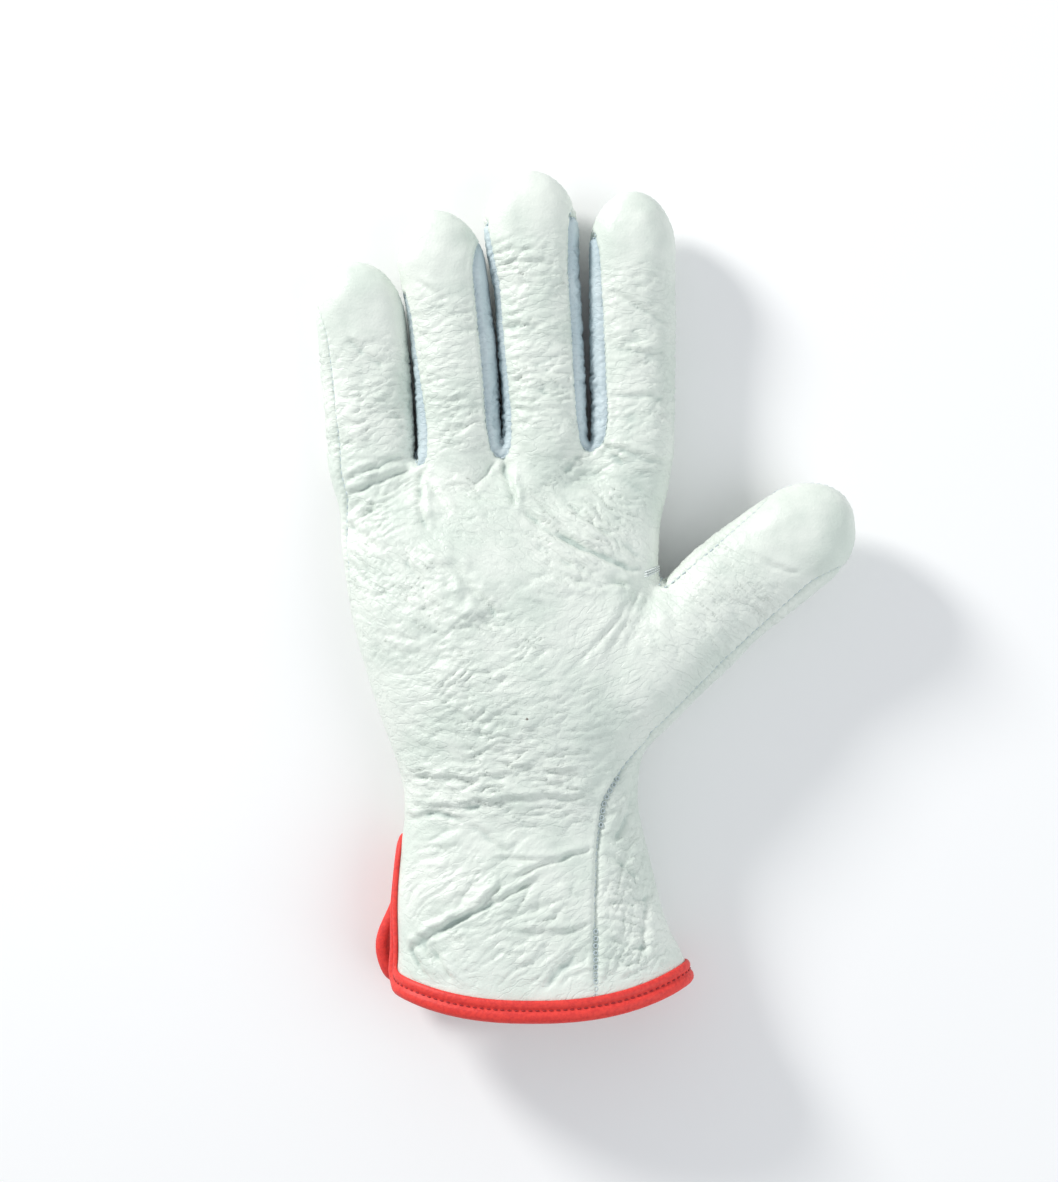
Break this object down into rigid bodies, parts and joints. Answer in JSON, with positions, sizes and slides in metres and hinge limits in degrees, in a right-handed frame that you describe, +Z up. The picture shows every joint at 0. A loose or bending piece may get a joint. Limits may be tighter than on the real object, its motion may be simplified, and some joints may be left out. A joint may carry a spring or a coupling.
{
  "type": "leather driver glove",
  "caption": "Unlined leather driver work glove for the right hand, lying palm up, with forked finger sides, a straight thumb and a bound, vented cuff.",
  "frame": {"origin": "on the surface the glove lies on, under the middle of its outline", "axes": "+Z up out of the palm, +Y from the hem to the fingertips, +X to the thumb side"},
  "size_m": [0.164, 0.256, 0.0411],
  "materials": {
    "palm_leather": "soft white grain leather",
    "back_leather": "soft white grain leather",
    "fork_leather": "soft white grain leather",
    "binding_tape": "red binding tape, folded and stitched"
  },
  "bodies": {
    "root": {"palm_panel": "palm_leather", "back_panel": "back_leather", "little_ring_fork": "fork_leather", "ring_middle_fork": "fork_leather", "middle_index_fork": "fork_leather", "hem_binding": "binding_tape"}
  },
  "joints": []
}
